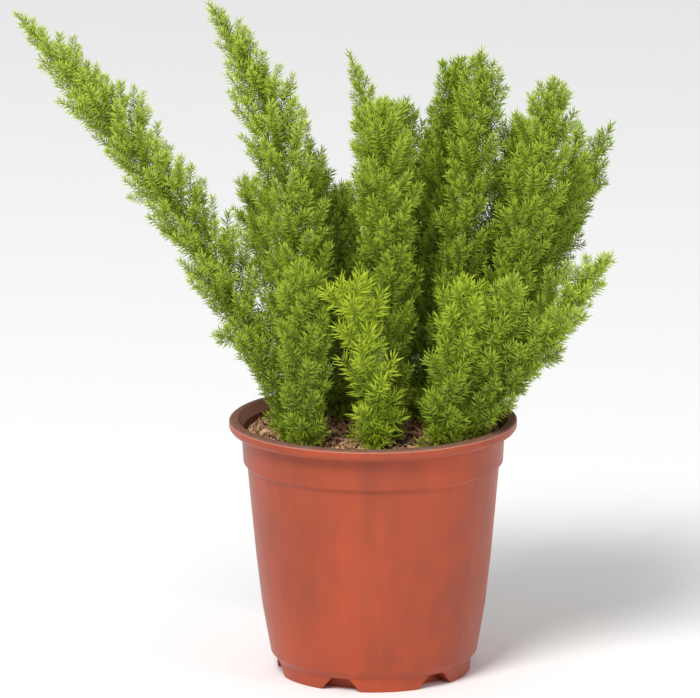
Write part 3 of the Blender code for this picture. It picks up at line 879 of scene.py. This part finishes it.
def wedge(index, grow, inner, foot):
    # A pocket's wedge, as points and faces: wide at its foot, pointing outwards
    angle = math.radians(pot["pocketAngle"] + 360 / pot["pockets"] * index)
    out = np.array([math.cos(angle), math.sin(angle), 0])
    across = np.array([-out[1], out[0], 0])
    slope = (pot["pocketFoot"] - pot["pocketTop"]) / 2 / pot["pocketHeight"]
    widen = grow * math.hypot(1, slope)
    top = pot["pocketHeight"] + grow
    ends = []
    for distance in (inner, pot["pocketEnd"]):
        for z in (foot, top):
            half = pot["pocketTop"] / 2 + slope * (pot["pocketHeight"] - z) + widen
            ends.append(out * distance - across * half + up * z)
            ends.append(out * distance + across * half + up * z)
    faces = [(0, 2, 3, 1), (4, 5, 7, 6), (0, 1, 5, 4), (2, 6, 7, 3), (0, 4, 6, 2), (1, 3, 7, 5)]
    return ends, faces


def drainHole(index):
    angle = math.radians(pot["pocketAngle"] + 360 / pot["pockets"] * index)
    centre = np.array([math.cos(angle), math.sin(angle), 0]) * pot["drainDistance"]
    sides = pot["drainSides"]
    turn = np.arange(sides) * 2 * math.pi / sides
    ring = np.stack([np.cos(turn), np.sin(turn), turn * 0], -1) * pot["drainRadius"]
    low = centre + ring + up * (pot["pocketHeight"] - 1 * mm)
    high = centre + ring + up * (pot["pocketHeight"] + 3 * mm)
    faces = [tuple(reversed(range(sides))), tuple(range(sides, 2 * sides))]
    for k in range(sides):
        nextK = (k + 1) % sides
        faces.append((k, nextK, sides + nextK, sides + k))
    return list(low) + list(high), faces


def carve(obj, cutters):
    # Cuts the cutters out of obj, applies the result and removes the cutters
    group = bpy.data.collections.new(f"{obj.name}_cutters")
    bpy.context.scene.collection.children.link(group)
    for cutter in cutters:
        bpy.context.scene.collection.objects.unlink(cutter)
        group.objects.link(cutter)
    modifier = obj.modifiers.new("carve", "BOOLEAN")
    modifier.operand_type = "COLLECTION"
    modifier.collection = group
    modifier.operation = "DIFFERENCE"
    bpy.context.view_layer.update()
    graph = bpy.context.evaluated_depsgraph_get()
    mesh = bpy.data.meshes.new_from_object(obj.evaluated_get(graph))
    obj.modifiers.clear()
    obj.data = mesh
    for cutter in cutters:
        bpy.data.objects.remove(cutter)
    bpy.data.collections.remove(group)


def makePot(material):
    lip, top, _ = potOutside[-1]
    above = top + 7  # clear of the lip
    outside = roundedProfile(potOutside + [(0, top, 0)])
    inside = roundedProfile([(0, above, 0), (lip, above, 0), (lip, top, 0)] + potInside)
    shell = plainObject("pot_shell", *lathe(outside, pot["sides"]))
    cavity = plainObject("pot_cavity", *lathe(inside[::-1], pot["sides"]))
    grow = pot["wall"]
    roofs = [
        plainObject(f"roof{k}", *wedge(k, grow, pot["pocketDepth"] - grow, -2 * mm))
        for k in range(pot["pockets"])
    ]
    carve(cavity, roofs)
    cutters = [cavity]
    for k in range(pot["pockets"]):
        cutters.append(plainObject(f"notch{k}", *wedge(k, 0, pot["pocketDepth"], -1 * mm)))
        cutters.append(plainObject(f"drain{k}", *drainHole(k)))
    carve(shell, cutters)
    shell.data.materials.clear()
    shell.data.materials.append(material)
    shell.data.shade_smooth()
    shell.data.set_sharp_from_angle(angle=math.radians(pot["sharpFrom"]))
    finish(shell, "pot_plastic", "pot")
    return len(shell.data.polygons)


# The soil: a lumpy mound with crumbs, bark and fallen needles on it

soil = {
    "radius": 76.6 * mm,
    "edge": 143 * mm,
    "mound": 5 * mm,
    "broadLumps": 0.4 * mm,
    "fineLumps": 0.45 * mm,
    "skirt": 12 * mm,  # how deep the soil's hidden wall goes
    "sides": 140,
    "rings": 44,
    "margin": 1.5 * mm,  # how far from the soil's edge the middles of bits stay
    "uneven": (0.7, 1.15),
    "shade": 0.22,  # of the peat between the bits
    # How many bits, their least and greatest half-lengths in millimetres, their shades
    "crumbs": (4200, (0.7, 0.6, 0.5), (2.3, 1.8, 1.3), (0.05, 1.0)),
    "bark": (900, (2.0, 1.2, 0.4), (4.4, 2.4, 0.9), (0.4, 1.0)),
    "straws": (500, (3.0, 0.3, 0.25), (5.5, 0.45, 0.35), (0.75, 1.0)),
    "seed": 5,
}


def lumps(x, y):
    # The same low mound as the part's source, with finer lumps
    spread = np.minimum(1, np.hypot(x, y) / soil["radius"])
    broad = np.sin(x * 310) * np.sin(y * 270 + 1) + np.sin(x * 170 + y * 410)
    fine = np.sin(x * 1500 + 3 * np.sin(y * 700)) * np.sin(y * 1300 + 2 * np.sin(x * 900))
    height = soil["edge"] + soil["mound"] * (1 - spread**2)
    height = height + soil["broadLumps"] * broad * (1 - spread**6)
    return height + soil["fineLumps"] * fine * (1 - spread**8)


crumbShape = np.array(
    [[1, 0, 0], [-1, 0, 0], [0, 1, 0], [0, -1, 0], [0, 0, 1], [0, 0, -1]], float
)
crumbFaces = np.array(
    [[0, 2, 4], [2, 1, 4], [1, 3, 4], [3, 0, 4], [2, 0, 5], [1, 2, 5], [3, 1, 5], [0, 3, 5]]
)


def randomTurns(rng, count):
    # Random rotation matrices
    q = unit(rng.normal(size=(count, 4)))
    w, x, y, z = q.T
    rows = [
        [1 - 2 * (y * y + z * z), 2 * (x * y - z * w), 2 * (x * z + y * w)],
        [2 * (x * y + z * w), 1 - 2 * (x * x + z * z), 2 * (y * z - x * w)],
        [2 * (x * z - y * w), 2 * (y * z + x * w), 1 - 2 * (x * x + y * y)],
    ]
    return np.moveaxis(np.array(rows), -1, 0)


def scatter(rng, count):
    radius = (soil["radius"] - soil["margin"]) * np.sqrt(rng.random(count))
    angle = rng.uniform(0, 2 * math.pi, count)
    x, y = radius * np.cos(angle), radius * np.sin(angle)
    return np.stack([x, y, lumps(x, y)], -1)


def addBits(gather, rng, count, least, greatest, shades):
    # Irregular bits that lie every way on the soil
    scale = rng.uniform(np.array(least) * mm, np.array(greatest) * mm, (count, 3))
    shape = crumbShape * rng.uniform(*soil["uneven"], (count, 6, 1))
    turned = np.einsum("nij,nkj->nki", randomTurns(rng, count), shape * scale[:, None])
    points = scatter(rng, count)[:, None] + turned
    faces = (crumbFaces + 6 * np.arange(count)[:, None, None]).reshape(-1, 3)
    shade = np.repeat(rng.uniform(*shades, count), 6)
    gather.add(points.reshape(-1, 3), faces, bit=shade)


def makeSoil(material):
    rng = np.random.default_rng(soil["seed"])
    gather = Gatherer("bit")
    sides, rings = soil["sides"], soil["rings"]
    turn = np.arange(sides) * 2 * math.pi / sides
    radius = soil["radius"] * np.linspace(1, 0.02, rings)
    x, y = np.outer(radius, np.cos(turn)), np.outer(radius, np.sin(turn))
    surface = np.stack([x, y, lumps(x, y)], -1).reshape(-1, 3)
    skirt = surface[:sides] - up * soil["skirt"]
    centre = np.array([[0, 0, lumps(0.0, 0.0)], [0, 0, surface[0, 2] - soil["skirt"]]])
    points = np.concatenate([skirt, surface, centre])
    a = np.arange(rings)[:, None] * sides + np.arange(sides)
    b = np.arange(rings)[:, None] * sides + np.roll(np.arange(sides), -1)
    walls = [np.stack([a, b, b + sides], -1), np.stack([a, b + sides, a + sides], -1)]
    k, nextK = np.arange(sides), np.roll(np.arange(sides), -1)
    last, top = rings * sides, (rings + 1) * sides
    lids = [
        np.stack([last + k, last + nextK, np.full(sides, top)], -1),
        np.stack([nextK, k, np.full(sides, top + 1)], -1),
    ]
    faces = np.concatenate([w.reshape(-1, 3) for w in walls] + lids)
    gather.add(points, faces, bit=soil["shade"])
    for kind in ("crumbs", "bark", "straws"):
        addBits(gather, rng, *soil[kind])
    obj = gather.build("soil_crumbs", material)
    finish(obj, "potting_soil", "soil")
    return len(obj.data.polygons)


# Floor and light

stage = {
    "floor": (0.97, 0.97, 0.97),
    "floorRoughness": 0.9,
    "floorHalf": 30.0,  # metres
    "world": 0.53,  # soft light from all round; the camera sees plain white
    "key": {"place": (-1.6, -3.4, 4.5), "size": 2.2, "power": 270.0},
    "strip": {"place": (0.98, -0.79, 0.45), "size": 0.12, "power": 2.5, "tall": 0.9},
    "aimHeight": 0.2,
}


def areaLight(name, place, size, power, tall=None):
    # A round light aimed at the plant, or an upright strip where tall is given
    data = bpy.data.lights.new(name, "AREA")
    data.shape = "RECTANGLE" if tall else "DISK"
    data.size = size
    data.size_y = tall or size
    data.energy = power
    light = bpy.data.objects.new(name, data)
    light.location = place
    aim = Vector((0, 0, place[2] if tall else stage["aimHeight"])) - Vector(place)
    light.rotation_euler = aim.to_track_quat("-Z", "Y").to_euler()
    bpy.context.scene.collection.objects.link(light)


def makeStage():
    half = stage["floorHalf"]
    corners = [(-half, -half, 0), (half, -half, 0), (half, half, 0), (-half, half, 0)]
    floor = plainObject("floor", corners, [(0, 1, 2, 3)])
    made, _, shader = newMaterial("floor_paper", stage["floorRoughness"])
    shader.inputs["Base Color"].default_value = (*stage["floor"], 1)
    floor.data.materials.append(made)
    world = bpy.data.worlds.new("studio")
    world.use_nodes = True
    tree = world.node_tree
    sky = tree.nodes["Background"]
    sky.inputs["Color"].default_value = (1, 1, 1, 1)
    seen = node(tree, "ShaderNodeLightPath").outputs["Is Camera Ray"]
    strength = mapRange(tree, seen, 0.0, 1.0, stage["world"], 1.0)
    tree.links.new(strength, sky.inputs["Strength"])
    bpy.context.scene.world = world
    for name in ("key", "strip"):
        areaLight(name, **stage[name])


def main():
    makeCamera()
    bpy.context.scene.view_settings.view_transform = "Standard"
    effects = makeEffects()
    slots = {row["node"]: row["material_slot"] for row in frame["record"]["subparts"]}
    greens = {}
    rng = np.random.default_rng(plumes["seed"])
    total = 0
    for name in plumeShapes:
        slot = slots[name]
        if slot not in greens:
            greens[slot] = makeNeedleMaterial(slot, effects)
        count = makePlume(name, greens[slot], slot, rng)
        total += count
        print("plume", name, count)
    print("plume triangles", total)
    print("pot faces", makePot(makePotMaterial(effects)))
    print("soil faces", makeSoil(makeSoilMaterial(effects)))
    makeStage()
    print("stage set")


main()
